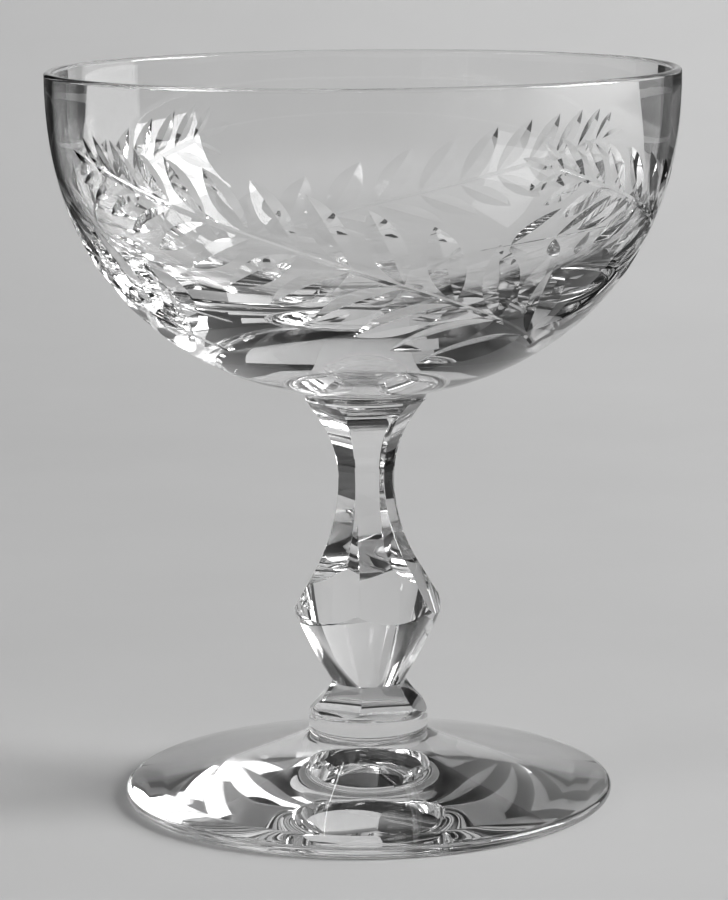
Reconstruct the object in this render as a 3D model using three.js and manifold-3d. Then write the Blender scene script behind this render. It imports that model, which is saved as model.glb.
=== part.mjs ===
// Cut-crystal sherbet glass: five hot-joined pieces of clear glass, millimetres, +Z up, resting on z = 0.
// The side shown in the photograph faces -Y; azimuths are in degrees from -Y towards +X.
import * as THREE from "three";
import { mergeVertices } from "three/addons/utils/BufferGeometryUtils.js";
import Module from "manifold-3d";

const wasm = await Module();
wasm.setup();

// Heights of the pieces, from the table up
const FOOT_HEIGHT = 10.1;
const KNOP_HEIGHT = 8.4;
const STEM_HEIGHT = 46.8;
const COLLAR_HEIGHT = 1.5;
const BOWL_HEIGHT = 51.2;

// Foot: a low cone that ends in a fillet under the knop, with a conical hollow below
const FOOT_RADIUS = 39.7;
const FOOT_EDGE_HEIGHT = 1.9;
const FOOT_EDGE_ROUND = 0.9;
const FOOT_FILLET = 0.7;
const FILLET_SWEEP = 16;
const GROUND_RING_WIDTH = 5.3;
const HOLLOW_HEIGHT = 3;

// Base knop: a flattened ball with flutes cut down over its shoulder
const KNOP_RADIUS = 9.75;
const KNOP_WIDEST_RISE = 1.2;
const KNOP_UNDERCUT = 0.2;
const WAIST_RADIUS = 6.5;
const KNOP_SHOULDER = 1.5;
const FLUTE_LENGTH = 5;
const FLUTE_SAG = 0.45;

// Stem: flat facets and hollow panels cut on a turned blank, given by the radius of their corners
const PANELS = 6;
const FACET_AZIMUTH = -8;
const PANEL_AZIMUTH = -22;
const CONE_END_RADIUS = 5.8;
const CONE_SAG = 0.35;
const GIRDLE_RISE = 13.3;
const GIRDLE_RADIUS = 12.55;
const FACET_HEIGHT = 5.7;
const FACET_TOP_RADIUS = 9;
const THROAT_DROP = 13.3;
const THROAT_RADIUS = 4.6;
const SPANDREL_HEIGHT = 2.25;
const FLARE_OVERRUN = 0.6;
const TOP_RING_HEIGHT = 0.35;
const STEM_TOP_RADIUS = 9.75;

// Collar
const COLLAR_SAG = 0.48;

// Bowl: each skin follows r = rim radius * cos(t), drop below the rim = depth * sin(t) ^ fullness
const RIM_RADIUS = 50.3;
const RIM_WALL = 1.4;
const BOWL_FULLNESS = 0.84;
const CAVITY_FULLNESS = 0.65;
const BOWL_SEAT_RADIUS = 12;
const BOWL_BASE = 8;

// Leaf sprays cut into the outside of the bowl
const SPRAYS = 4;
const SPRAY_TIP_AZIMUTH = -55;
const SPRAY_TIP_DROP = 12.65;
const SPRAY_ROOT_AZIMUTH = 52;
const SPRAY_ROOT_RISE = 9.65;
const LEAF_PAIRS = 12;
const LEAF_FIRST_AZIMUTH = -53;
const LEAF_STEP = 5;
const LEAF_STEP_GROWTH = 0.75;
const LEAF_SHORTEST = 6;
const LEAF_LONGEST = 17;
const LEAF_GROWTH = 0.7;
const LEAF_WIDTH_RATIO_TIP = 0.27;
const LEAF_WIDTH_RATIO_ROOT = 0.45;
const LEAF_DEPTH_RATIO = 0.125;
const LEAF_GAP = 0.5;
const LEAF_ANGLE_UP_TIP = 31;
const LEAF_ANGLE_UP_ROOT = 50;
const LEAF_ANGLE_DOWN_TIP = 41;
const LEAF_ANGLE_DOWN_ROOT = 49;
const STALK_WIDTH = 1;
const STALK_DEPTH = 0.15;

// How far a cutting tool stands clear of the surface that it cuts
const CUT_OVERRUN = 0.25;

const WIDE_SEGMENTS = 64;
const SMALL_SEGMENTS = 48;

// Heights of the joints between the pieces, and sizes that two pieces share
const WAIST_Z = FOOT_HEIGHT + KNOP_HEIGHT;
const STEM_TOP_Z = WAIST_Z + STEM_HEIGHT;
const SEAT_Z = STEM_TOP_Z + COLLAR_HEIGHT;
const RIM_Z = SEAT_Z + BOWL_HEIGHT;
const FACET_TOP_Z = WAIST_Z + GIRDLE_RISE + FACET_HEIGHT;
const THROAT_Z = STEM_TOP_Z - THROAT_DROP;
const KNOP_SEAT_RADIUS = KNOP_RADIUS - KNOP_UNDERCUT;
const SKIN_DEPTH = BOWL_HEIGHT / (1 - (BOWL_SEAT_RADIUS / RIM_RADIUS) ** 2) ** (BOWL_FULLNESS / 2);
const radians = THREE.MathUtils.degToRad;

// Evenly spaced numbers from a to b, both included
function steps(a, b, count) {
  return Array.from({ length: count + 1 }, (_, i) => a + ((b - a) * i) / count);
}

// A geometry as a solid that can be joined and cut
function solidOf(geometry) {
  const bare = new THREE.BufferGeometry()
    .setAttribute("position", geometry.getAttribute("position"))
    .setIndex(geometry.index);
  const merged = mergeVertices(bare, 1e-4);
  const kept = [];
  for (let i = 0; i < merged.index.count; i += 3) {
    const [a, b, c] = merged.index.array.subarray(i, i + 3);
    if (a !== b && b !== c && c !== a) kept.push(a, b, c);
  }
  return new wasm.Manifold(
    new wasm.Mesh({
      numProp: 3,
      vertProperties: merged.getAttribute("position").array,
      triVerts: new Uint32Array(kept),
    }),
  );
}

// The geometry of a solid
function geometryOf(solid) {
  const mesh = solid.getMesh();
  return new THREE.BufferGeometry()
    .setAttribute("position", new THREE.BufferAttribute(mesh.vertProperties, 3))
    .setIndex(new THREE.BufferAttribute(mesh.triVerts, 1));
}

// A turned form: profile points are [radius, z], listed from the axis at the bottom, anticlockwise
function turned(profile, segments) {
  const points = profile.map(([r, z]) => new THREE.Vector2(r, z));
  return new THREE.LatheGeometry(points, segments).rotateX(Math.PI / 2);
}

// A turned form with one side per panel; its corners turn a little from the facets up to the throat
function panelled(profile) {
  const geometry = turned(profile, PANELS);
  const places = geometry.getAttribute("position");
  const axis = new THREE.Vector3(0, 0, 1);
  for (let i = 0; i < places.count; i++) {
    const place = new THREE.Vector3().fromBufferAttribute(places, i);
    const share = THREE.MathUtils.clamp((place.z - FACET_TOP_Z) / (THROAT_Z - FACET_TOP_Z), 0, 1);
    const azimuth = THREE.MathUtils.lerp(FACET_AZIMUTH, PANEL_AZIMUTH, share);
    places.setXYZ(i, ...place.applyAxisAngle(axis, radians(azimuth)).toArray());
  }
  return geometry;
}

// Points of a shallow curve from a to b that bulges by sag to the left of the way
function sagged(a, b, sag, count) {
  const length = Math.hypot(b[0] - a[0], b[1] - a[1]);
  const across = [-(b[1] - a[1]) / length, (b[0] - a[0]) / length];
  return steps(0, 1, count).map((s) => {
    const lift = 4 * sag * s * (1 - s);
    return [a[0] + (b[0] - a[0]) * s + across[0] * lift, a[1] + (b[1] - a[1]) * s + across[1] * lift];
  });
}

// Radius of the bowl's outside at a height
function bowlRadius(z) {
  return RIM_RADIUS * Math.sqrt(1 - ((RIM_Z - z) / SKIN_DEPTH) ** (2 / BOWL_FULLNESS));
}

// Angle t of a bowl skin of the given depth and fullness where it lies drop below the rim
function skinAngle(drop, depth, fullness) {
  return Math.asin((drop / depth) ** (1 / fullness));
}

// Profile of a bowl skin between two angles
function skin(rimRadius, depth, fullness, fromAngle, toAngle, count) {
  return steps(fromAngle, toAngle, count).map((t) => [
    rimRadius * Math.cos(t),
    RIM_Z - depth * Math.sin(t) ** fullness,
  ]);
}

// Point, directions and radius of the bowl's outside at an azimuth in radians and a height
function bowlFrame(azimuth, z) {
  const out = new THREE.Vector3(Math.sin(azimuth), -Math.cos(azimuth), 0);
  const slope = (bowlRadius(z + 0.01) - bowlRadius(z - 0.01)) / 0.02;
  const point = out.clone().multiplyScalar(bowlRadius(z)).setZ(z);
  const normal = out.clone().setZ(-slope).normalize();
  const along = new THREE.Vector3(Math.cos(azimuth), Math.sin(azimuth), 0);
  const up = new THREE.Vector3().crossVectors(normal, along);
  return { point, normal, up, radius: bowlRadius(z) };
}

// A V-shaped cutter that sinks into the bowl along a path and rises out of it at both ends.
// path(s) gives [azimuth, z] for s from -1 to 1; fade(s) is the share of the full depth there.
function cutter(path, width, depth, stations, fade) {
  const points = [];
  const index = [];
  stations.forEach((s) => {
    const here = bowlFrame(...path(s));
    const ahead = bowlFrame(...path(s + 0.01)).point.sub(here.point).normalize();
    const side = new THREE.Vector3().crossVectors(here.normal, ahead);
    const sunk = depth * fade(s);
    const half = (Math.max(sunk + CUT_OVERRUN, 0) * width) / (2 * depth);
    const top = here.point.clone().addScaledVector(here.normal, CUT_OVERRUN);
    points.push(here.point.clone().addScaledVector(here.normal, -sunk));
    points.push(top.clone().addScaledVector(side, half));
    points.push(top.clone().addScaledVector(side, -half));
  });
  for (let i = 0; i + 1 < stations.length; i++) {
    const [keel, left, right] = [3 * i, 3 * i + 1, 3 * i + 2];
    [[keel, left], [left, right], [right, keel]].forEach(([a, b]) => {
      index.push(a, b, b + 3, a, b + 3, a + 3);
    });
  }
  const last = 3 * (stations.length - 1);
  index.push(0, 2, 1, last, last + 1, last + 2);
  const positions = new Float32Array(points.flatMap((p) => p.toArray()));
  const geometry = new THREE.BufferGeometry()
    .setAttribute("position", new THREE.BufferAttribute(positions, 3))
    .setIndex(index);
  return solidOf(geometry);
}

// Height of a stalk at an azimuth in degrees from its spray's middle
function stalkHeight(azimuth) {
  const share = (azimuth - SPRAY_TIP_AZIMUTH) / (SPRAY_ROOT_AZIMUTH - SPRAY_TIP_AZIMUTH);
  return THREE.MathUtils.lerp(RIM_Z - SPRAY_TIP_DROP, SEAT_Z + SPRAY_ROOT_RISE, share);
}

// One leaf cut of the spray at middle: it starts beside the stalk at an azimuth from the middle and
// points towards the spray's tip, turned by angle from the stalk.
function leafCut(middle, azimuth, length, width, angle) {
  const baseAzimuth = radians(middle + azimuth);
  const baseZ = stalkHeight(azimuth);
  const base = bowlFrame(baseAzimuth, baseZ);
  const rise = (stalkHeight(azimuth - 1) - baseZ) / base.up.z;
  const turn = Math.atan2(rise, -base.radius * radians(1)) + radians(angle);
  const path = (s) => {
    const reach = LEAF_GAP + (length * (s + 1)) / 2;
    const z = baseZ + reach * Math.sin(turn) * base.up.z;
    return [baseAzimuth + (reach * Math.cos(turn)) / ((base.radius + bowlRadius(z)) / 2), z];
  };
  const depth = width * LEAF_DEPTH_RATIO;
  const end = Math.sqrt(1 + CUT_OVERRUN / depth);
  const stations = [-end, -0.55, 0, 0.55, end];
  return cutter(path, width, depth, stations, (s) => 1 - s * s);
}

// The groove of a spray's stalk
function stalkCut(middle) {
  const path = (s) => {
    const azimuth = THREE.MathUtils.lerp(SPRAY_TIP_AZIMUTH, SPRAY_ROOT_AZIMUTH, (s + 1) / 2);
    return [radians(middle + azimuth), stalkHeight(azimuth)];
  };
  const stations = [-1.02, ...steps(-0.97, 0.97, 10), 1.02];
  const fade = (s) => (Math.abs(s) > 1 ? -CUT_OVERRUN / STALK_DEPTH : 1);
  return cutter(path, STALK_WIDTH, STALK_DEPTH, stations, fade);
}

// All the cuts of one spray, whose middle is at the given azimuth
function sprayCuts(middle) {
  const { lerp } = THREE.MathUtils;
  const tipWidth = LEAF_SHORTEST * LEAF_WIDTH_RATIO_TIP;
  const cuts = [stalkCut(middle), leafCut(middle, SPRAY_TIP_AZIMUTH, LEAF_SHORTEST, tipWidth, 0)];
  for (let i = 0; i < LEAF_PAIRS; i++) {
    const share = i / (LEAF_PAIRS - 1);
    const azimuth = LEAF_FIRST_AZIMUTH + LEAF_STEP * i + (LEAF_STEP_GROWTH * i * (i - 1)) / 2;
    const length = lerp(LEAF_SHORTEST, LEAF_LONGEST, share ** LEAF_GROWTH);
    const width = length * lerp(LEAF_WIDTH_RATIO_TIP, LEAF_WIDTH_RATIO_ROOT, share);
    const up = lerp(LEAF_ANGLE_UP_TIP, LEAF_ANGLE_UP_ROOT, share);
    const down = lerp(LEAF_ANGLE_DOWN_TIP, LEAF_ANGLE_DOWN_ROOT, share);
    cuts.push(leafCut(middle, azimuth, length, width, -up), leafCut(middle, azimuth, length, width, down));
  }
  return cuts;
}

// Bowl: a cup with a rounded lip and a thick solid base that ends in a flat seat
function bowl() {
  const lip = RIM_WALL / 2;
  const cavityDepth = BOWL_HEIGHT - BOWL_BASE;
  const seatAngle = Math.acos(BOWL_SEAT_RADIUS / RIM_RADIUS);
  const outsideEnd = skinAngle(lip, SKIN_DEPTH, BOWL_FULLNESS);
  const outside = skin(RIM_RADIUS, SKIN_DEPTH, BOWL_FULLNESS, seatAngle, outsideEnd, 12);
  const insideStart = skinAngle(lip, cavityDepth, CAVITY_FULLNESS);
  const inside = skin(RIM_RADIUS - RIM_WALL, cavityDepth, CAVITY_FULLNESS, insideStart, Math.PI / 2, 10);
  const lipArc = steps(0, Math.PI, 4).slice(1, -1).map((a) => [
    RIM_RADIUS - lip + lip * Math.cos(a),
    RIM_Z - lip + lip * Math.sin(a),
  ]);
  inside[inside.length - 1][0] = 0;
  const cup = solidOf(turned([[0, SEAT_Z], ...outside, ...lipArc, ...inside], WIDE_SEGMENTS));
  const middles = steps(0, 360, SPRAYS).slice(1);
  return geometryOf(cup.subtract(wasm.Manifold.union(middles.flatMap(sprayCuts))));
}

// Collar: the button of glass that joins the bowl to the stem
function collar() {
  const side = sagged([STEM_TOP_RADIUS, STEM_TOP_Z], [BOWL_SEAT_RADIUS, SEAT_Z], COLLAR_SAG, 5);
  return turned([[0, STEM_TOP_Z], ...side, [0, SEAT_Z]], SMALL_SEGMENTS);
}

// Radius at a height on a round hollow that leaves the throat upright and ends at the given place
function hollowRadius(z, endRadius, endZ) {
  const widening = endRadius - THROAT_RADIUS;
  const sweep = (widening ** 2 + (endZ - THROAT_Z) ** 2) / (2 * widening);
  return THROAT_RADIUS + sweep - Math.sqrt(sweep ** 2 - (z - THROAT_Z) ** 2);
}

// Stem: a blank with a cone low down and a ring at the top, cut by flat facets above the cone and by
// hollow panels from the facets to the ring
function stem() {
  const girdleZ = WAIST_Z + GIRDLE_RISE;
  const ringZ = STEM_TOP_Z - TOP_RING_HEIGHT;
  const spandrelZ = ringZ - SPANDREL_HEIGHT;
  const flareRadius = STEM_TOP_RADIUS + FLARE_OVERRUN;
  const facetSlope = (GIRDLE_RADIUS - FACET_TOP_RADIUS) / FACET_HEIGHT;
  const lower = (z) => hollowRadius(z, FACET_TOP_RADIUS, FACET_TOP_Z);
  const upper = (z) => hollowRadius(z, flareRadius, ringZ);
  const clear = Math.max(GIRDLE_RADIUS, flareRadius) + CUT_OVERRUN;
  const panels = [
    [0, WAIST_Z],
    [GIRDLE_RADIUS + facetSlope * GIRDLE_RISE, WAIST_Z],
    ...steps(FACET_TOP_Z, THROAT_Z, 6).map((z) => [lower(z), z]),
    ...steps(THROAT_Z, ringZ, 8).slice(1).map((z) => [upper(z), z]),
    [clear / Math.cos(Math.PI / PANELS), ringZ],
    [clear / Math.cos(Math.PI / PANELS), STEM_TOP_Z],
    [0, STEM_TOP_Z],
  ];
  const blank = [
    [0, WAIST_Z],
    ...sagged([CONE_END_RADIUS, WAIST_Z], [GIRDLE_RADIUS, girdleZ], -CONE_SAG, 6),
    [clear, girdleZ],
    [clear, THROAT_Z],
    [upper(spandrelZ), THROAT_Z],
    [upper(spandrelZ), spandrelZ],
    [STEM_TOP_RADIUS, ringZ],
    [STEM_TOP_RADIUS, STEM_TOP_Z],
    [0, STEM_TOP_Z],
  ];
  return geometryOf(solidOf(turned(blank, SMALL_SEGMENTS)).intersect(solidOf(panelled(panels))));
}

// Base knop: the round ball, cut by hollow flutes that start at the waist and run out on its widest part
function baseKnop() {
  const widestZ = FOOT_HEIGHT + KNOP_WIDEST_RISE;
  const topRadius = WAIST_RADIUS + KNOP_SHOULDER;
  const ballPart = (endRadius, endZ, shares) =>
    shares.map((u) => [KNOP_RADIUS + (endRadius - KNOP_RADIUS) * u * u, widestZ + (endZ - widestZ) * u]);
  const ball = [
    [0, FOOT_HEIGHT],
    ...ballPart(KNOP_SEAT_RADIUS, FOOT_HEIGHT, steps(1, 0, 5)),
    ...ballPart(topRadius, WAIST_Z, steps(0, 1, 8).slice(1)),
    [0, WAIST_Z],
  ];
  const fluteRadius = KNOP_RADIUS / Math.cos(Math.PI / PANELS);
  const fluteEndZ = WAIST_Z - FLUTE_LENGTH;
  const clear = fluteRadius + CUT_OVERRUN;
  const flutes = [
    [0, FOOT_HEIGHT],
    [clear, FOOT_HEIGHT],
    [clear, fluteEndZ],
    ...sagged([fluteRadius, fluteEndZ], [WAIST_RADIUS, WAIST_Z], FLUTE_SAG, 6),
    [0, WAIST_Z],
  ];
  return geometryOf(solidOf(turned(ball, SMALL_SEGMENTS)).intersect(solidOf(panelled(flutes))));
}

// Foot: a low cone with a rounded edge, hollow below and resting on a flat ground ring
function foot() {
  const crownRadius = FOOT_RADIUS - FOOT_EDGE_ROUND;
  const ringInnerRadius = crownRadius - GROUND_RING_WIDTH;
  const edge = steps(-Math.PI / 2, Math.PI / 2, 4).map((a) => [
    crownRadius + FOOT_EDGE_ROUND * Math.cos(a),
    (FOOT_EDGE_HEIGHT * (1 + Math.sin(a))) / 2,
  ]);
  const coneHeight = FOOT_HEIGHT - FOOT_FILLET - FOOT_EDGE_HEIGHT;
  const cone = steps(0.8, 1, 5).map((u) => [
    THREE.MathUtils.lerp(crownRadius, KNOP_SEAT_RADIUS, u),
    FOOT_EDGE_HEIGHT + coneHeight * u + FOOT_FILLET * u ** FILLET_SWEEP,
  ]);
  const hollow = [[0, HOLLOW_HEIGHT], [ringInnerRadius, 0]];
  return turned([...hollow, ...edge, ...cone, [0, FOOT_HEIGHT]], WIDE_SEGMENTS);
}

// A clear crystal mesh under its own name
function glassMesh(name, geometry) {
  const material = new THREE.MeshStandardMaterial({
    name: "clear_crystal",
    color: 0xe8ecec,
    roughness: 0.05,
    metalness: 0,
    transparent: true,
    opacity: 0.4,
  });
  const mesh = new THREE.Mesh(geometry, material);
  mesh.name = name;
  return mesh;
}

const sherbetGlass = new THREE.Group();
sherbetGlass.name = "sherbet_glass";
sherbetGlass.add(
  glassMesh("bowl", bowl()),
  glassMesh("collar", collar()),
  glassMesh("stem", stem()),
  glassMesh("base_knop", baseKnop()),
  glassMesh("foot", foot()),
);

export default sherbetGlass;
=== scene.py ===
import math

import bmesh
import bpy
import numpy as np
from mathutils import Matrix, Vector


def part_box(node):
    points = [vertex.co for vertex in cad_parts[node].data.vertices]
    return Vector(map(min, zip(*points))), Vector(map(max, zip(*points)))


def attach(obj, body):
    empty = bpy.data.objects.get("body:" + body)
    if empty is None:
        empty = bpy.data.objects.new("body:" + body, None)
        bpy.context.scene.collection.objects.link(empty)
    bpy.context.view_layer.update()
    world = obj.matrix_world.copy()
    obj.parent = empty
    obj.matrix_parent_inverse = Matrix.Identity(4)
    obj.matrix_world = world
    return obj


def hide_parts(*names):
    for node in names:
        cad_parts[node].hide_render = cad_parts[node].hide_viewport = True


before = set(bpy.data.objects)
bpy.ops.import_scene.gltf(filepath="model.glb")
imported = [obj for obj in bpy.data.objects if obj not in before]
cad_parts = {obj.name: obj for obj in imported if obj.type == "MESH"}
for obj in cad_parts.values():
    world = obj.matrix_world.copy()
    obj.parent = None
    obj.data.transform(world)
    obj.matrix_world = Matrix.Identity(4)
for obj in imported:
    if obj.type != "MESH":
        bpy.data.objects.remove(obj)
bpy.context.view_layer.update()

# Sizes in metres. Azimuths are measured from -Y, the side in the photograph, towards +X.
MM = 0.001
TURN = 2 * math.pi

# Limits for merging points and for finding joint faces and sharp edges
SAME_POINT = 1e-7
SAME_CUT_POINT = 1e-8
JOINT_TOLERANCE = 1e-6
FLAT_NORMAL = 0.999
SHARP_EDGE = math.radians(12)

# Places and sizes taken from the frame
SEAT_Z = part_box("bowl")[0].z
RIM_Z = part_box("bowl")[1].z
RIM_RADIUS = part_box("bowl")[1].x
SEAT_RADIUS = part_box("collar")[1].x
STEM_TOP_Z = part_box("stem")[1].z
WAIST_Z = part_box("stem")[0].z
KNOP_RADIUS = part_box("base_knop")[1].x
FOOT_TOP_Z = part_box("foot")[1].z
FOOT_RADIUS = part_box("foot")[1].x

# Bowl
BOWL_FULLNESS = 0.84
CAVITY_FULLNESS = 0.65
RIM_WALL = 1.4 * MM
BOWL_BASE = 8 * MM
SKIN_DEPTH = (RIM_Z - SEAT_Z) / (1 - (SEAT_RADIUS / RIM_RADIUS) ** 2) ** (BOWL_FULLNESS / 2)
BOWL_SEGMENTS = 288
OUTSIDE_ROWS = 96
CAVITY_ROWS = 80
LIP_ROWS = 14

# Leaf sprays
SPRAYS = 4
SPRAY_TIP = math.radians(-55)
SPRAY_ROOT = math.radians(52)
SPRAY_TIP_DROP = 12.65 * MM
SPRAY_ROOT_RISE = 9.65 * MM
LEAF_PAIRS = 12
LEAF_FIRST = math.radians(-53)
LEAF_STEP = math.radians(5)
LEAF_STEP_GROWTH = math.radians(0.75)
LEAF_SHORTEST = 6 * MM
LEAF_LONGEST = 17 * MM
LEAF_GROWTH = 0.7
LEAF_WIDTH_RATIOS = (0.27, 0.45)
LEAF_DEPTH_RATIO = 0.125
LEAF_GAP = 0.5 * MM
LEAF_ANGLES_UP = (-31, -50)
LEAF_ANGLES_DOWN = (41, 49)
STALK_WIDTH = 1 * MM
STALK_DEPTH = 0.15 * MM
STALK_OVERSHOOT = 1.02
STALK_FADE = 0.05
STALK_STATIONS = 80
LEAF_STATIONS = 25
CUT_OVERRUN = 0.25 * MM
SLOPE_STEP = 0.01

# Stem
PANELS = 6
PANEL_AZIMUTH = math.radians(-22)
FACET_AZIMUTH = math.radians(-8)
HALF_PANEL = math.pi / PANELS
STEM_TOP_RADIUS = 9.75 * MM
TOP_RING_HEIGHT = 0.35 * MM
SPANDREL_HEIGHT = 2.25 * MM
FLARE_RADIUS = STEM_TOP_RADIUS + 0.6 * MM
THROAT_Z = STEM_TOP_Z - 13.3 * MM
THROAT_RADIUS = 4.6 * MM
GIRDLE_Z = WAIST_Z + 13.3 * MM
GIRDLE_RADIUS = 12.55 * MM
FACET_TOP_Z = GIRDLE_Z + 5.7 * MM
FACET_TOP_RADIUS = 9 * MM
CONE_END_RADIUS = 5.8 * MM
CONE_SAG = 0.35 * MM
RIDGE_POLISH = 0.04 * MM
PANEL_COLUMNS = 13
RIDGE_COLUMNS = 16

# Collar, base knop and foot
COLLAR_SAG = 0.48 * MM
KNOP_WIDEST_Z = FOOT_TOP_Z + 1.2 * MM
KNOP_SEAT_RADIUS = KNOP_RADIUS - 0.2 * MM
WAIST_RADIUS = 6.5 * MM
KNOP_TOP_RADIUS = WAIST_RADIUS + 1.5 * MM
FLUTE_LENGTH = 5 * MM
FLUTE_SAG = 0.45 * MM
FOOT_EDGE_HEIGHT = 1.9 * MM
FOOT_EDGE_ROUND = 0.9 * MM
FOOT_FILLET = 0.7 * MM
FILLET_SWEEP = 16
GROUND_RING_WIDTH = 5.3 * MM
HOLLOW_HEIGHT = 3 * MM
SMALL_SEGMENTS = 192

# Glass finish; the patterns are in features to the metre
GLASS_IOR = 1.54
TINT_RANGE = (0.97, 1)
CRYSTAL_ROUGHNESS = (0, 0.012)
CUT_ROUGHNESS = (0.01, 0.05)
CORD_DEPTH = 0.012 * MM
CUT_CORD_DEPTH = 0.03 * MM
TINT_PATTERN = 45
CORD_PATTERN = 90
SMEAR_PATTERN = 260
NOISE_LOW = 0.3
NOISE_HIGH = 0.7
POLISH_INPUTS = ("Deepest Tint", "Clearest Tint", "Smoothest", "Dullest", "Cord Depth")

# Camera, from the ellipses of the rim and foot in the 728 by 900 photograph
CAMERA_PLACE = (0, -0.5245, 0.1504)
CAMERA_PITCH = math.radians(-10.15)
CAMERA_ROLL = math.radians(-0.49)
FOCAL_PIXELS = 3302
FRAME_HEIGHT = 900
CENTRE_SHIFT_PIXELS = 1.98
SENSOR_MM = 36
NEAREST_SEEN = 0.01

# Stage: pale paper under and behind the glass, panels beside the backdrop and dark cards on the floor
FLOOR_Z = -0.05 * MM
FLOOR_RINGS = (0, 0.2, 0.5, 1, 3)
FLOOR_SEGMENTS = 64
PAPER = 0.6
CARD = 0.02
PAPER_MOTTLE = 0.02
MOTTLE_PATTERN = 14
PAPER_ROUGHNESS = 0.8
PAPER_SHEEN = 0.2
BACKDROP_START = 0.3
BACKDROP_END = 1.0
BACKDROP_HEIGHT = 0.7
BACKDROP_CURVE = 3
BACKDROP_ROWS = 49
BACKDROP_SUNK = 0.01 * MM
PAPER_EDGE_X = 0.068
PAPER_EDGE_SLOPE = 0.112
CARD_LIFT = 0.005 * MM
LEFT_CARD = ((-0.095, 0.06), (-0.075, 0.06), (-0.2, 0.45), (-0.348, 2.5), (-2.9, 2.5))
RIGHT_CARD = ((0.08, 0.06), (0.1, 0.06), (2.5, 2.5), (0.35, 2.5), (0.3, 0.75))
LEFT_PANEL_WIDTH = 0.13
RIGHT_PANEL_WIDTH = 0.45
PANEL_LOW = 0.12

# Lamps: azimuth and elevation in degrees from the bowl's middle, distance, width, height and watts
BOWL_MIDDLE = 0.1
WINDOWS = {
    "right_window": (86, 24, 2.0, 1.23, 1.08, 54),
    "left_window": (-68, 25, 2.0, 0.86, 0.72, 4),
    "low_window": (117, 9, 1.8, 1.2, 0.7, 5),
}
LIGHT_BOUNCES = 24
GLOSSY_BOUNCES = 12

# Sky: the first five are sines of the elevation, the next two how far a level heading points back
SKY_LOW = 0.24
SKY_HIGH = 0.5
SKY_TOP = 0.62
SKY_CEILING = 0.75
SKY_OVERHEAD = 0.9
SKY_SIDE = 0.1
SKY_BACK = 0.4

# Strengths of the sky: BEHIND is a factor for its darkened parts, SEEN the least that the camera sees
SKY_DARK = 0.02
SKY_BRIGHT = 0.6
SKY_BEHIND = 0.06
SKY_SEEN = 0.4

# Shade at the back on the left: edge and core are cosines of the angle from its middle
SHADE_AZIMUTH = 236
SHADE_EDGE = 0.79
SHADE_CORE = 0.906


# Surfaces

def grid_faces(rows, columns):
    """Quads of a grid whose columns close into a ring; they face out where the rows climb the outside."""
    row, column = np.meshgrid(np.arange(rows - 1), np.arange(columns), indexing="ij")
    after = (column + 1) % columns
    corners = (row * columns + column, row * columns + after, (row + 1) * columns + after,
               (row + 1) * columns + column)
    return np.stack(corners, axis=-1).reshape(-1, 4)


def round_the_axis(radius, azimuth, z):
    """Points at a radius, azimuth and height: x = r sin a, y = -r cos a."""
    z = np.broadcast_to(z, np.broadcast(radius, azimuth).shape)
    return np.stack((radius * np.sin(azimuth), -radius * np.cos(azimuth), z), axis=-1)


def turned(profile, segments):
    """A profile of (radius, z) rows carried round the axis in equal steps."""
    radius, z = np.asarray(profile).T
    azimuth = np.arange(segments) * TURN / segments
    points = round_the_axis(radius[:, None], azimuth[None, :], z[:, None])
    return points.reshape(-1, 3), grid_faces(len(radius), segments)


def new_mesh(name, points, faces):
    """A mesh whose poles and collapsed columns are closed by merging the points that coincide."""
    mesh = bpy.data.meshes.new(name)
    mesh.from_pydata(points.tolist(), [], faces.tolist())
    work = bmesh.new()
    work.from_mesh(mesh)
    bmesh.ops.remove_doubles(work, verts=work.verts, dist=SAME_POINT)
    work.to_mesh(mesh)
    work.free()
    return mesh


def bowl_radius(z):
    """Outside radius of the bowl: R sqrt(1 - ((rim - z) / depth) ^ (2 / fullness))."""
    return RIM_RADIUS * np.sqrt(1 - ((RIM_Z - z) / SKIN_DEPTH) ** (2 / BOWL_FULLNESS))


def bowl_slope(z):
    """How fast the outside radius grows with height, the derivative of bowl_radius."""
    drop = (RIM_Z - z) / SKIN_DEPTH
    growth = drop ** (2 / BOWL_FULLNESS - 1) / (BOWL_FULLNESS * SKIN_DEPTH)
    return RIM_RADIUS ** 2 * growth / bowl_radius(z)


def bowl_frame(azimuth, z):
    """Point, outward normal and upward direction on the bowl's outside."""
    slope = bowl_slope(z)
    steep = np.sqrt(1 + slope ** 2)
    point = round_the_axis(bowl_radius(z), azimuth, z)
    normal = round_the_axis(1 / steep, azimuth, -slope / steep)
    up = round_the_axis(slope / steep, azimuth, 1 / steep)
    return point, normal, up


def skin_profile(rim_radius, depth, fullness, from_angle, to_angle, count):
    """A bowl skin: r = rim cos t, z = rim height - depth sin(t) ^ fullness."""
    t = np.linspace(from_angle, to_angle, count)
    return np.stack((rim_radius * np.cos(t), RIM_Z - depth * np.sin(t) ** fullness), axis=-1)


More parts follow.
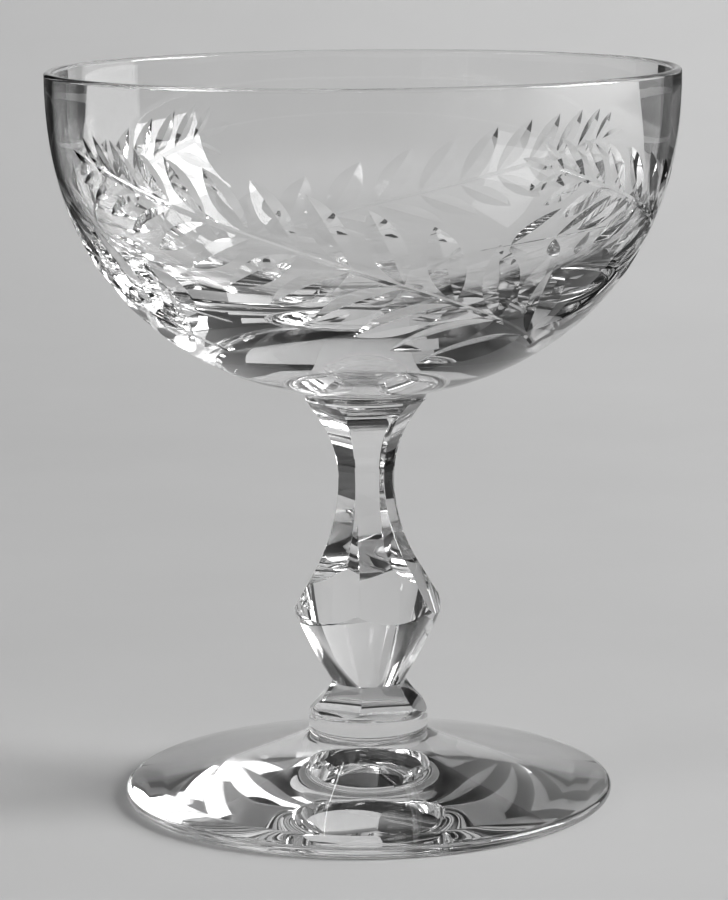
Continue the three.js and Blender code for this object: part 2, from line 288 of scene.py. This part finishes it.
def bowl_profile():
    """Seat, outside skin, half-round lip and inside skin, from the axis back to the axis."""
    lip = RIM_WALL / 2
    cavity_depth = RIM_Z - SEAT_Z - BOWL_BASE
    seat_angle = math.acos(SEAT_RADIUS / RIM_RADIUS)

    def lip_angle(depth, fullness):
        return math.asin((lip / depth) ** (1 / fullness))

    outside = skin_profile(RIM_RADIUS, SKIN_DEPTH, BOWL_FULLNESS, seat_angle,
                           lip_angle(SKIN_DEPTH, BOWL_FULLNESS), OUTSIDE_ROWS)
    inside = skin_profile(RIM_RADIUS - RIM_WALL, cavity_depth, CAVITY_FULLNESS,
                          lip_angle(cavity_depth, CAVITY_FULLNESS), math.pi / 2, CAVITY_ROWS)
    a = np.linspace(0, math.pi, LIP_ROWS)[1:-1]
    arc = np.stack((RIM_RADIUS - lip + lip * np.cos(a), RIM_Z - lip + lip * np.sin(a)), axis=-1)
    seat = [(0, SEAT_Z), (SEAT_RADIUS / 2, SEAT_Z)]
    inside[-1, 0] = 0
    return np.concatenate((seat, outside, arc, inside))


# Leaf cuts

def stalk_height(azimuth):
    """The stalk falls evenly with azimuth, from below the rim to above the seat."""
    share = (azimuth - SPRAY_TIP) / (SPRAY_ROOT - SPRAY_TIP)
    return (1 - share) * (RIM_Z - SPRAY_TIP_DROP) + share * (SEAT_Z + SPRAY_ROOT_RISE)


def cutter_points(azimuth, z, sunk, steepness):
    """Wedges along paths on the bowl: a keel sunk below the skin and two edges standing clear of it.
    The arrays are (cut, station); the half width grows with the height of the edges over the keel."""
    point, normal, _ = bowl_frame(azimuth, z)
    ahead = np.gradient(point, axis=1)
    side = np.cross(normal, ahead)
    side /= np.linalg.norm(side, axis=-1, keepdims=True)
    half = np.maximum(sunk + CUT_OVERRUN, 0) / steepness
    top = point + normal * CUT_OVERRUN
    keel = point - normal * sunk[..., None]
    return np.stack((keel, top + side * half[..., None], top - side * half[..., None]), axis=2)


def cutter_mesh(name, points):
    """All wedges of an array (cut, station, corner, xyz) as one mesh."""
    cuts, stations = points.shape[:2]
    sides = grid_faces(stations, 3)
    last = 3 * (stations - 1)
    ends = np.array(((0, 2, 1), (last, last + 1, last + 2)))
    start = (np.arange(cuts) * stations * 3)[:, None, None]
    faces = (start + sides).reshape(-1, 4).tolist() + (start + ends).reshape(-1, 3).tolist()
    mesh = bpy.data.meshes.new(name)
    mesh.from_pydata(points.reshape(-1, 3).tolist(), [], faces)
    work = bmesh.new()
    work.from_mesh(mesh)
    bmesh.ops.remove_doubles(work, verts=work.verts, dist=SAME_CUT_POINT)
    bmesh.ops.recalc_face_normals(work, faces=work.faces)
    work.to_mesh(mesh)
    work.free()
    return mesh


def leaf_cutters(azimuth, length, ratio, angle):
    """Leaves that start beside the stalk and point to the tip, turned by an angle in degrees from it.
    Each is deepest at its middle and fades as 1 - s squared to a point at both ends."""
    base_z = stalk_height(azimuth)
    radius = bowl_radius(base_z)
    _, _, up = bowl_frame(azimuth, base_z)
    rise = (stalk_height(azimuth - SLOPE_STEP) - base_z) / up[:, 2]
    turn = np.arctan2(rise, -SLOPE_STEP * radius) + np.radians(angle)
    depth = (length * ratio * LEAF_DEPTH_RATIO)[:, None]
    s = np.linspace(-1, 1, LEAF_STATIONS)[None, :] * np.sqrt(1 + CUT_OVERRUN / depth)
    reach = LEAF_GAP + length[:, None] * (s + 1) / 2
    z = base_z[:, None] + reach * (np.sin(turn) * up[:, 2])[:, None]
    across = reach * np.cos(turn)[:, None]
    path = azimuth[:, None] + across / ((radius[:, None] + bowl_radius(z)) / 2)
    return path, z, depth * (1 - s ** 2)


def round_the_bowl(path, z, sunk, steepness):
    """The cuts of one spray repeated at equal turns round the bowl."""
    turns = np.arange(SPRAYS) * TURN / SPRAYS
    around = (path[None] + turns[:, None, None]).reshape(-1, path.shape[1])
    return cutter_points(around, np.tile(z, (SPRAYS, 1)), np.tile(sunk, (SPRAYS, 1)), steepness)


def spray_cutters():
    """Meshes of the stalks, and of the upper and lower leaves in two turns each so that none overlap."""
    i = np.arange(LEAF_PAIRS)
    share = i / (LEAF_PAIRS - 1)
    azimuth = LEAF_FIRST + LEAF_STEP * i + LEAF_STEP_GROWTH * i * (i - 1) / 2
    length = LEAF_SHORTEST + (LEAF_LONGEST - LEAF_SHORTEST) * share ** LEAF_GROWTH
    ratio = np.interp(share, (0, 1), LEAF_WIDTH_RATIOS)
    stations = np.linspace(-STALK_OVERSHOOT, STALK_OVERSHOOT, STALK_STATIONS)[None, :]
    stalk = SPRAY_TIP + (SPRAY_ROOT - SPRAY_TIP) * (stations + 1) / 2
    fade = np.clip((STALK_OVERSHOOT - np.abs(stations)) / STALK_FADE, 0, 1)
    sunk = -CUT_OVERRUN + (STALK_DEPTH + CUT_OVERRUN) * fade
    made = [round_the_bowl(stalk, stalk_height(stalk), sunk, 2 * STALK_DEPTH / STALK_WIDTH)]
    tip = np.array([SPRAY_TIP]), np.array([LEAF_SHORTEST]), ratio[:1], 0
    made.append(round_the_bowl(*leaf_cutters(*tip), 2 * LEAF_DEPTH_RATIO))
    for angles in (LEAF_ANGLES_UP, LEAF_ANGLES_DOWN):
        angle = np.interp(share, (0, 1), angles)
        for turn in (slice(0, None, 2), slice(1, None, 2)):
            leaves = leaf_cutters(azimuth[turn], length[turn], ratio[turn], angle[turn])
            made.append(round_the_bowl(*leaves, 2 * LEAF_DEPTH_RATIO))
    return [cutter_mesh(f"cutter_{n}", points) for n, points in enumerate(made)]


# Panelled forms

def panelled(z, flat, limit, corner_azimuth):
    """Rings whose radius is the smaller of a flat panel, flat / cos, and a round limit.
    Each panel's columns end where the two meet, so the edges of the panels lie on columns."""
    flat, limit = np.asarray(flat)[:, None, None], np.asarray(limit)[:, None, None]
    meet = np.arccos(np.clip(flat / limit, math.cos(HALF_PANEL), 1))
    across = np.linspace(-1, 1, PANEL_COLUMNS)
    between = np.linspace(0, 1, RIDGE_COLUMNS)[1:-1]
    panel = meet * across
    ridge = meet + 2 * (HALF_PANEL - meet) * between
    offset = np.concatenate((panel, ridge), axis=2)
    middle = (HALF_PANEL + np.arange(PANELS) * 2 * HALF_PANEL)[None, :, None]
    middle = middle + np.broadcast_to(corner_azimuth, len(z))[:, None, None]
    radius = np.minimum(flat / np.cos(offset), limit)
    points = round_the_axis(radius, middle + offset, np.asarray(z)[:, None, None])
    columns = PANELS * offset.shape[2]
    return points.reshape(-1, 3), grid_faces(len(z), columns)


def bulged(start, end, sag, count):
    """A shallow curve between two (radius, z) points that bulges by the sag to the left of the way."""
    s = np.linspace(0, 1, count)[:, None]
    run = np.subtract(end, start)
    left = np.array((-run[1], run[0])) / np.hypot(*run)
    return np.array(start) + run * s + left * 4 * sag * s * (1 - s)


def stem_surface():
    """A round cone under six flat facets, then round hollows in to the throat and out to the flare. The
    corners turn a little on the way to the throat. An uncut ring ends the stem."""
    ring_z = STEM_TOP_Z - TOP_RING_HEIGHT
    tip_z = ring_z - SPANDREL_HEIGHT
    cone = bulged((CONE_END_RADIUS, WAIST_Z), (GIRDLE_RADIUS, GIRDLE_Z), -CONE_SAG, 80)

    def hollow(z, end_radius, end_z):
        widening = end_radius - THROAT_RADIUS
        sweep = (widening ** 2 + (end_z - THROAT_Z) ** 2) / (2 * widening)
        return THROAT_RADIUS + sweep - np.sqrt(np.maximum(sweep ** 2 - (z - THROAT_Z) ** 2, 0))

    def corner(z):
        share = (z - GIRDLE_Z) / (FACET_TOP_Z - GIRDLE_Z)
        facets = GIRDLE_RADIUS + (FACET_TOP_RADIUS - GIRDLE_RADIUS) * share
        lower = hollow(z, FACET_TOP_RADIUS, FACET_TOP_Z)
        upper = hollow(z, FLARE_RADIUS, ring_z)
        return np.where(z < FACET_TOP_Z, facets, np.where(z < THROAT_Z, lower, upper))

    stretches = ((WAIST_Z, GIRDLE_Z, 100), (GIRDLE_Z, FACET_TOP_Z, 10), (FACET_TOP_Z, THROAT_Z, 40),
                 (THROAT_Z, tip_z, 40), (tip_z, ring_z, 24))
    z = np.unique(np.concatenate([np.linspace(*stretch) for stretch in stretches]))
    flat = corner(z) * math.cos(HALF_PANEL)
    round_part = np.interp(z, (tip_z, ring_z), (corner(tip_z), STEM_TOP_RADIUS))
    limit = np.minimum(np.where(z < tip_z, corner(z), round_part), corner(z)) - RIDGE_POLISH
    limit = np.where(z < GIRDLE_Z, np.minimum(limit, np.interp(z, cone[:, 1], cone[:, 0])), limit)
    azimuth = np.interp(z, (FACET_TOP_Z, THROAT_Z), (FACET_AZIMUTH, PANEL_AZIMUTH))
    points, faces = panelled(z, flat, limit, azimuth)
    columns = len(points) // len(z)
    ring = points[-columns:] * (STEM_TOP_RADIUS / np.linalg.norm(points[-columns:, :2], axis=1))[:, None]
    ring[:, 2] = ring_z
    top = ring.copy()
    top[:, 2] = STEM_TOP_Z
    low_centre, high_centre = points[:columns] * (0, 0, 1), top * (0, 0, 1)
    rows = np.concatenate((low_centre, points, ring, top, high_centre))
    return rows, grid_faces(len(rows) // columns, columns)


def knop_surface():
    """A ball, R + (end - R) u squared on each side of its widest height, under hollow flutes whose corner
    radius runs from the widest radius in to the waist."""
    z = np.concatenate((np.linspace(FOOT_TOP_Z, KNOP_WIDEST_Z, 16),
                        np.linspace(KNOP_WIDEST_Z, WAIST_Z, 72)[1:]))
    below = (KNOP_WIDEST_Z - z) / (KNOP_WIDEST_Z - FOOT_TOP_Z)
    above = (z - KNOP_WIDEST_Z) / (WAIST_Z - KNOP_WIDEST_Z)
    end = np.where(z < KNOP_WIDEST_Z, KNOP_SEAT_RADIUS, KNOP_TOP_RADIUS)
    ball = KNOP_RADIUS + (end - KNOP_RADIUS) * np.where(z < KNOP_WIDEST_Z, below, above) ** 2
    flute_start = (KNOP_RADIUS / math.cos(HALF_PANEL), WAIST_Z - FLUTE_LENGTH)
    flute = bulged(flute_start, (WAIST_RADIUS, WAIST_Z), FLUTE_SAG, 200)
    corner = np.interp(z, flute[:, 1], flute[:, 0])
    limit = np.minimum(ball, corner - RIDGE_POLISH)
    points, _ = panelled(z, corner * math.cos(HALF_PANEL), limit, FACET_AZIMUTH)
    columns = len(points) // len(z)
    rows = np.concatenate((points[:columns] * (0, 0, 1), points, points[-columns:] * (0, 0, 1)))
    return rows, grid_faces(len(rows) // columns, columns)


def collar_surface():
    """A shallow curve from the stem's top out to the bowl's seat, bulging by the sag."""
    side = bulged((STEM_TOP_RADIUS, STEM_TOP_Z), (SEAT_RADIUS, SEAT_Z), COLLAR_SAG, 24)
    return turned(np.concatenate(([(0, STEM_TOP_Z)], side, [(0, SEAT_Z)])), SMALL_SEGMENTS)


def foot_surface():
    """A conical hollow, ground ring, half-oval edge and a straight cone that ends in a fillet, a high power
    of the way in."""
    crown = FOOT_RADIUS - FOOT_EDGE_ROUND
    u = np.linspace(0, 1, 40)
    hollow = np.stack(((crown - GROUND_RING_WIDTH) * u, HOLLOW_HEIGHT * (1 - u)), axis=-1)
    a = np.linspace(-math.pi / 2, math.pi / 2, 18)
    edge = np.stack((crown + FOOT_EDGE_ROUND * np.cos(a), FOOT_EDGE_HEIGHT * (1 + np.sin(a)) / 2), axis=-1)
    u = np.linspace(0, 1, 120)[1:]
    rise = (FOOT_TOP_Z - FOOT_FILLET - FOOT_EDGE_HEIGHT) * u + FOOT_FILLET * u ** FILLET_SWEEP
    dome = np.stack((crown + (KNOP_SEAT_RADIUS - crown) * u, FOOT_EDGE_HEIGHT + rise), axis=-1)
    return turned(np.concatenate((hollow, edge, dome, [(0, FOOT_TOP_Z)])), BOWL_SEGMENTS)


# Materials

def new_group(name, inputs, outputs):
    """An empty shader node group with named float inputs and outputs of given kinds."""
    tree = bpy.data.node_groups.new(name, "ShaderNodeTree")
    for label in inputs:
        tree.interface.new_socket(label, in_out="INPUT", socket_type="NodeSocketFloat")
    for label, kind in outputs:
        tree.interface.new_socket(label, in_out="OUTPUT", socket_type=kind)
    return tree, tree.nodes.new("NodeGroupInput"), tree.nodes.new("NodeGroupOutput")


def add_noise(tree, place, scale, detail):
    """Noise over the object's own coordinates; the scale is in features to the metre."""
    noise = tree.nodes.new("ShaderNodeTexNoise")
    noise.inputs["Scale"].default_value = scale
    noise.inputs["Detail"].default_value = detail
    tree.links.new(place.outputs["Object"], noise.inputs["Vector"])
    return noise.outputs["Fac"]


def add_range(tree, value, low, high):
    """The middle of the noise's range spread between two group inputs."""
    spread = tree.nodes.new("ShaderNodeMapRange")
    spread.inputs["From Min"].default_value = NOISE_LOW
    spread.inputs["From Max"].default_value = NOISE_HIGH
    tree.links.new(value, spread.inputs["Value"])
    tree.links.new(low, spread.inputs["To Min"])
    tree.links.new(high, spread.inputs["To Max"])
    return spread.outputs["Result"]


def hand_polish():
    """Faint cords in the glass, clouds of tint, and patches of higher and lower polish."""
    tree, given, made = new_group("hand_polish", POLISH_INPUTS, (
        ("Color", "NodeSocketColor"), ("Roughness", "NodeSocketFloat"), ("Normal", "NodeSocketVector")))
    place = tree.nodes.new("ShaderNodeTexCoord")
    clouds = add_noise(tree, place, TINT_PATTERN, 3)
    cords = add_noise(tree, place, CORD_PATTERN, 1)
    smears = add_noise(tree, place, SMEAR_PATTERN, 4)
    tint = add_range(tree, clouds, given.outputs["Deepest Tint"], given.outputs["Clearest Tint"])
    tree.links.new(tint, made.inputs["Color"])
    dull = add_range(tree, smears, given.outputs["Smoothest"], given.outputs["Dullest"])
    tree.links.new(dull, made.inputs["Roughness"])
    wave = tree.nodes.new("ShaderNodeBump")
    wave.inputs["Strength"].default_value = 1
    tree.links.new(cords, wave.inputs["Height"])
    tree.links.new(given.outputs["Cord Depth"], wave.inputs["Distance"])
    tree.links.new(wave.outputs["Normal"], made.inputs["Normal"])
    return tree


def clear_crystal(name, polish, roughness_range, cord_depth):
    """Polished clear lead glass with the faint unevenness of hand work."""
    material = bpy.data.materials.new(name)
    material.use_nodes = True
    nodes, links = material.node_tree.nodes, material.node_tree.links
    shader = nodes["Principled BSDF"]
    shader.inputs["IOR"].default_value = GLASS_IOR
    shader.inputs["Transmission Weight"].default_value = 1
    finish = nodes.new("ShaderNodeGroup")
    finish.node_tree = polish
    for label, value in zip(POLISH_INPUTS, (*TINT_RANGE, *roughness_range, cord_depth)):
        finish.inputs[label].default_value = value
    links.new(finish.outputs["Color"], shader.inputs["Base Color"])
    links.new(finish.outputs["Roughness"], shader.inputs["Roughness"])
    links.new(finish.outputs["Normal"], shader.inputs["Normal"])
    return material


def fused_joint():
    """The faces where two pieces of one hot metal have run together: nothing shows there."""
    material = bpy.data.materials.new("fused_joint")
    material.use_nodes = True
    material.node_tree.nodes["Principled BSDF"].inputs["Alpha"].default_value = 0
    return material


# Pieces

def add_piece(name, mesh, node, materials):
    """A finished glass piece: smooth, with its cut edges sharp."""
    mesh.shade_smooth()
    mesh.set_sharp_from_angle(angle=SHARP_EDGE)
    for material in materials:
        mesh.materials.append(material)
    piece = bpy.data.objects.new(name, mesh)
    bpy.context.scene.collection.objects.link(piece)
    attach(piece, "root")
    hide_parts(node)


def face_values(mesh, field, width=None):
    """A face property as an array."""
    values = np.empty(len(mesh.polygons) * (width or 1), np.int32 if width is None else np.float32)
    mesh.polygons.foreach_get(field, values)
    return values.reshape(-1, width) if width else values


def mark_joints(mesh, heights, slot):
    """Faces that lie flat at a joint's height take the fused joint's slot."""
    centres = face_values(mesh, "center", 3)
    normals = face_values(mesh, "normal", 3)
    index = face_values(mesh, "material_index")
    for z in heights:
        at_joint = np.abs(centres[:, 2] - z) < JOINT_TOLERANCE
        index[at_joint & (np.abs(normals[:, 2]) > FLAT_NORMAL)] = slot
    mesh.polygons.foreach_set("material_index", index)


def cut_bowl(materials):
    """The turned bowl with every leaf and stalk cut out of it; the cut faces have slot 1."""
    cup = new_mesh("bowl_blank", *turned(bowl_profile(), BOWL_SEGMENTS))
    blank = bpy.data.objects.new("bowl_blank", cup)
    bpy.context.scene.collection.objects.link(blank)
    for material in materials:
        blank.data.materials.append(material)
    cutters = []
    for mesh in spray_cutters():
        for material in materials:
            mesh.materials.append(material)
        mesh.polygons.foreach_set("material_index", np.ones(len(mesh.polygons), np.int32))
        cutter = bpy.data.objects.new(mesh.name, mesh)
        bpy.context.scene.collection.objects.link(cutter)
        cutters.append(cutter)
        cut = blank.modifiers.new(mesh.name, "BOOLEAN")
        cut.operation = "DIFFERENCE"
        cut.solver = "MANIFOLD"
        cut.object = cutter
    bpy.context.view_layer.update()
    shape = blank.evaluated_get(bpy.context.evaluated_depsgraph_get())
    mesh = bpy.data.meshes.new_from_object(shape)
    for made in (blank, *cutters):
        bpy.data.objects.remove(made)
    mesh.name = "crystal_bowl"
    return mesh


def true_skin_normals(mesh):
    """The bowl's skins and lip take the normal of the surface itself, so no cut leaves ripples round it."""
    corners = np.empty(len(mesh.loops), np.int32)
    mesh.loops.foreach_get("vertex_index", corners)
    places = np.empty(len(mesh.vertices) * 3, np.float32)
    mesh.vertices.foreach_get("co", places)
    x, y, z = places.reshape(-1, 3)[corners].T.astype(float)
    radius = np.hypot(x, y)
    azimuth = np.arctan2(x, -y)
    lip = RIM_WALL / 2
    cavity_depth = RIM_Z - SEAT_Z - BOWL_BASE
    wall = RIM_RADIUS - RIM_WALL
    low = np.minimum(z, RIM_Z - lip)
    drop = (RIM_Z - low) / cavity_depth
    inside_radius = wall * np.sqrt(np.maximum(1 - drop ** (2 / CAVITY_FULLNESS), 0))
    outer = np.abs(radius - bowl_radius(low)) < np.abs(radius - inside_radius)
    lean = np.where(outer, 1 / RIM_RADIUS ** 2, -1 / wall ** 2) * radius
    depth = np.where(outer, SKIN_DEPTH, cavity_depth)
    fullness = np.where(outer, BOWL_FULLNESS, CAVITY_FULLNESS)
    tip = ((RIM_Z - low) / depth) ** (2 / fullness - 1) / (fullness * depth)
    rise = np.where(outer, -tip, tip)
    on_lip = z > RIM_Z - lip + SAME_POINT
    lean = np.where(on_lip, radius - (RIM_RADIUS - lip), lean)
    rise = np.where(on_lip, z - (RIM_Z - lip), rise)
    normals = round_the_axis(lean, azimuth, rise)
    normals /= np.linalg.norm(normals, axis=1, keepdims=True)
    sizes = face_values(mesh, "loop_total")
    skin = np.repeat(face_values(mesh, "material_index") == 0, sizes)
    normals[~skin] = 0
    mesh.normals_split_custom_set(normals.tolist())


joint = fused_joint()
polish = hand_polish()
crystal = clear_crystal("clear_crystal", polish, CRYSTAL_ROUGHNESS, CORD_DEPTH)
leaf_polish = clear_crystal("leaf_polish", polish, CUT_ROUGHNESS, CUT_CORD_DEPTH)

bowl_mesh = cut_bowl((crystal, leaf_polish, joint))
mark_joints(bowl_mesh, [SEAT_Z], 2)
add_piece("crystal_bowl", bowl_mesh, "bowl", ())
true_skin_normals(bowl_mesh)

for name, surface, node, slot, joints in (
    ("crystal_collar", collar_surface, "collar", "collar_crystal", (STEM_TOP_Z, SEAT_Z)),
    ("crystal_stem", stem_surface, "stem", "stem_crystal", (WAIST_Z, STEM_TOP_Z)),
    ("crystal_knop", knop_surface, "base_knop", "knop_crystal", (FOOT_TOP_Z, WAIST_Z)),
    ("crystal_foot", foot_surface, "foot", "foot_crystal", (FOOT_TOP_Z,)),
):
    mesh = new_mesh(name, *surface())
    add_piece(name, mesh, node, (crystal, joint))
    mark_joints(mesh, joints, 1)


# Stage, light and camera

def add_stage(name, points, faces, material):
    """A stage piece: the floor, the backdrop, a panel or a card."""
    mesh = new_mesh(name, points.reshape(-1, 3), faces)
    mesh.shade_smooth()
    mesh.materials.append(material)
    piece = bpy.data.objects.new(name, mesh)
    bpy.context.scene.collection.objects.link(piece)


def paper_tone():
    """The mottle and fine grain of uncoated paper between two tones."""
    tree, given, made = new_group("paper_tone", ("Darker", "Lighter"), (("Color", "NodeSocketColor"),))
    place = tree.nodes.new("ShaderNodeTexCoord")
    grain = add_noise(tree, place, MOTTLE_PATTERN, 8)
    mottle = add_range(tree, grain, given.outputs["Darker"], given.outputs["Lighter"])
    tree.links.new(mottle, made.inputs["Color"])
    return tree


def matt_paper(name, tones, tone):
    """Matt grey paper about one tone; the node that sets its tone comes with it."""
    material = bpy.data.materials.new(name)
    material.use_nodes = True
    nodes = material.node_tree.nodes
    shader = nodes["Principled BSDF"]
    shader.inputs["Roughness"].default_value = PAPER_ROUGHNESS
    shader.inputs["Specular IOR Level"].default_value = PAPER_SHEEN
    sheet = nodes.new("ShaderNodeGroup")
    sheet.node_tree = tones
    sheet.inputs["Darker"].default_value = tone * (1 - PAPER_MOTTLE)
    sheet.inputs["Lighter"].default_value = tone * (1 + PAPER_MOTTLE)
    material.node_tree.links.new(sheet.outputs["Color"], shader.inputs["Base Color"])
    return material, sheet


def one_sided_paper(tones):
    """Pale paper that shows only its face, so a view from behind it is clear."""
    material, _ = matt_paper("backdrop_paper", tones, PAPER)
    nodes, links = material.node_tree.nodes, material.node_tree.links
    side = nodes.new("ShaderNodeNewGeometry")
    face = nodes.new("ShaderNodeMath")
    face.operation = "SUBTRACT"
    face.inputs[0].default_value = 1
    links.new(side.outputs["Backfacing"], face.inputs[1])
    links.new(face.outputs[0], nodes["Principled BSDF"].inputs["Alpha"])
    return material


def dark_card(tones):
    """A card that is dark in the glass and as pale as the floor to the camera."""
    material, sheet = matt_paper("dark_card", tones, CARD)
    nodes, links = material.node_tree.nodes, material.node_tree.links
    path = nodes.new("ShaderNodeLightPath")
    for label, share in (("Darker", 1 - PAPER_MOTTLE), ("Lighter", 1 + PAPER_MOTTLE)):
        tone = nodes.new("ShaderNodeMapRange")
        tone.inputs["To Min"].default_value = CARD * share
        tone.inputs["To Max"].default_value = PAPER * share
        links.new(path.outputs["Is Camera Ray"], tone.inputs["Value"])
        links.new(tone.outputs["Result"], sheet.inputs[label])
    return material


def paper_edge(y):
    """Half the width of the pale paper, which ends just outside the picture."""
    return PAPER_EDGE_X + PAPER_EDGE_SLOPE * y


def add_floor_and_backdrop():
    """A wide disc just under the foot, behind it a sheet that curves up from the floor with a panel on each
    side, and two dark cards lying on the floor, which give the glass its dark edges."""
    tones = paper_tone()
    paper, _ = matt_paper("pale_paper", tones, PAPER)
    backdrop_paper = one_sided_paper(tones)
    radius = np.array(FLOOR_RINGS)
    azimuth = np.arange(FLOOR_SEGMENTS) * TURN / FLOOR_SEGMENTS
    disc = round_the_axis(radius[:, None], azimuth[None, :], FLOOR_Z)
    add_stage("floor", disc, grid_faces(len(radius), FLOOR_SEGMENTS)[:, ::-1], paper)
    u = np.linspace(0, 1, BACKDROP_ROWS)
    y = BACKDROP_START + (BACKDROP_END - BACKDROP_START) * u
    z = FLOOR_Z - BACKDROP_SUNK + BACKDROP_HEIGHT * u ** BACKDROP_CURVE
    sheet = np.stack((np.stack((-paper_edge(y), y, z), axis=-1),
                      np.stack((paper_edge(y), y, z), axis=-1)), axis=1)
    row = np.arange(len(y) - 1) * 2
    quads = np.stack((row, row + 1, row + 3, row + 2), axis=-1)
    add_stage("backdrop", sheet, quads, backdrop_paper)
    edge = paper_edge(BACKDROP_END)
    for name, left, right in (("left_panel", -edge - LEFT_PANEL_WIDTH, -edge),
                              ("right_panel", edge, edge + RIGHT_PANEL_WIDTH)):
        panel = np.array([(x, BACKDROP_END, height) for x, height in (
            (left, PANEL_LOW), (right, PANEL_LOW), (right, BACKDROP_HEIGHT), (left, BACKDROP_HEIGHT))])
        add_stage(name, panel, np.array([(0, 1, 2, 3)]), backdrop_paper)
    dark = dark_card(tones)
    for name, corners in (("left_card", LEFT_CARD), ("right_card", RIGHT_CARD)):
        card = np.array([(x, y, FLOOR_Z + CARD_LIFT) for x, y in corners])
        add_stage(name, card, np.arange(len(card))[None, :], dark)


def add_lamp(name, place, width, height, power):
    """A soft rectangular lamp at a place, turned to the bowl's middle."""
    lamp = bpy.data.lights.new(name, "AREA")
    lamp.shape = "RECTANGLE"
    lamp.size = width
    lamp.size_y = height
    lamp.energy = power
    window = bpy.data.objects.new(name, lamp)
    window.location = place
    window.rotation_euler = (Vector(place) - Vector((0, 0, BOWL_MIDDLE))).to_track_quat("Z", "Y").to_euler()
    bpy.context.scene.collection.objects.link(window)


def round_about(azimuth, elevation, distance):
    """A place at an azimuth and elevation in degrees, seen from the bowl's middle."""
    a, e = math.radians(azimuth), math.radians(elevation)
    level = distance * math.cos(e)
    return (level * math.sin(a), -level * math.cos(a), BOWL_MIDDLE + distance * math.sin(e))


def add_world():
    """Light by direction: dark low down, a bright belt, a dark ceiling, dark above the backdrop and dark at
    the back on the left. The camera itself sees no sky darker than a set grey."""
    world = bpy.data.worlds.new("studio")
    bpy.context.scene.world = world
    world.use_nodes = True
    nodes, links = world.node_tree.nodes, world.node_tree.links

    def ramp(socket, start, end, low, high):
        step = nodes.new("ShaderNodeMapRange")
        step.interpolation_type = "SMOOTHSTEP"
        step.inputs["From Min"].default_value = start
        step.inputs["From Max"].default_value = end
        step.inputs["To Min"].default_value = low
        step.inputs["To Max"].default_value = high
        links.new(socket, step.inputs["Value"])
        return step.outputs["Result"]

    def combined(operation, first, second):
        step = nodes.new("ShaderNodeMath")
        step.operation = operation
        links.new(first, step.inputs[0])
        links.new(second, step.inputs[1])
        return step.outputs[0]

    place = nodes.new("ShaderNodeTexCoord")
    direction = nodes.new("ShaderNodeSeparateXYZ")
    links.new(place.outputs["Generated"], direction.inputs[0])
    level = nodes.new("ShaderNodeCombineXYZ")
    links.new(direction.outputs["X"], level.inputs["X"])
    links.new(direction.outputs["Y"], level.inputs["Y"])
    heading = nodes.new("ShaderNodeVectorMath")
    heading.operation = "NORMALIZE"
    links.new(level.outputs[0], heading.inputs[0])
    compass = nodes.new("ShaderNodeSeparateXYZ")
    links.new(heading.outputs[0], compass.inputs[0])
    shade = nodes.new("ShaderNodeVectorMath")
    shade.operation = "DOT_PRODUCT"
    links.new(heading.outputs[0], shade.inputs[0])
    shade.inputs[1].default_value = (*round_about(SHADE_AZIMUTH, 0, 1)[:2], 0)

    height = direction.outputs["Z"]
    belt = ramp(height, SKY_LOW, SKY_HIGH, SKY_DARK, SKY_BRIGHT)
    near_horizon = ramp(height, SKY_HIGH, SKY_TOP, 1, SKY_BEHIND)
    under_ceiling = ramp(height, SKY_CEILING, SKY_OVERHEAD, 1, SKY_BEHIND)
    not_behind = ramp(compass.outputs["Y"], SKY_SIDE, SKY_BACK, 1, SKY_BEHIND)
    unshaded = ramp(shade.outputs["Value"], SHADE_EDGE, SHADE_CORE, 1, SKY_BEHIND)
    glow = combined("MULTIPLY", belt, combined("MAXIMUM", near_horizon, not_behind))
    glow = combined("MULTIPLY", combined("MULTIPLY", glow, under_ceiling), unshaded)
    path = nodes.new("ShaderNodeLightPath")
    glow = combined("MAXIMUM", glow, ramp(path.outputs["Is Camera Ray"], 0, 1, 0, SKY_SEEN))
    links.new(glow, nodes["Background"].inputs["Color"])


def add_camera():
    """The photograph's view: a long lens a little above the rim, looking down."""
    data = bpy.data.cameras.new("camera")
    data.sensor_fit = "VERTICAL"
    data.sensor_height = SENSOR_MM
    data.lens = FOCAL_PIXELS * SENSOR_MM / FRAME_HEIGHT
    data.shift_x = -CENTRE_SHIFT_PIXELS / FRAME_HEIGHT
    data.clip_start = NEAREST_SEEN
    camera = bpy.data.objects.new("camera", data)
    turn = Matrix.Rotation(math.pi / 2 + CAMERA_PITCH, 4, "X") @ Matrix.Rotation(CAMERA_ROLL, 4, "Z")
    camera.matrix_world = Matrix.Translation(CAMERA_PLACE) @ turn
    bpy.context.scene.collection.objects.link(camera)
    bpy.context.scene.camera = camera


add_floor_and_backdrop()
for name, (azimuth, elevation, distance, width, height, power) in WINDOWS.items():
    add_lamp(name, round_about(azimuth, elevation, distance), width, height, power)
add_world()
add_camera()

scene = bpy.context.scene
scene.view_settings.view_transform = "Standard"
scene.cycles.max_bounces = LIGHT_BOUNCES
scene.cycles.transmission_bounces = LIGHT_BOUNCES
scene.cycles.glossy_bounces = GLOSSY_BOUNCES
scene.cycles.transparent_max_bounces = LIGHT_BOUNCES
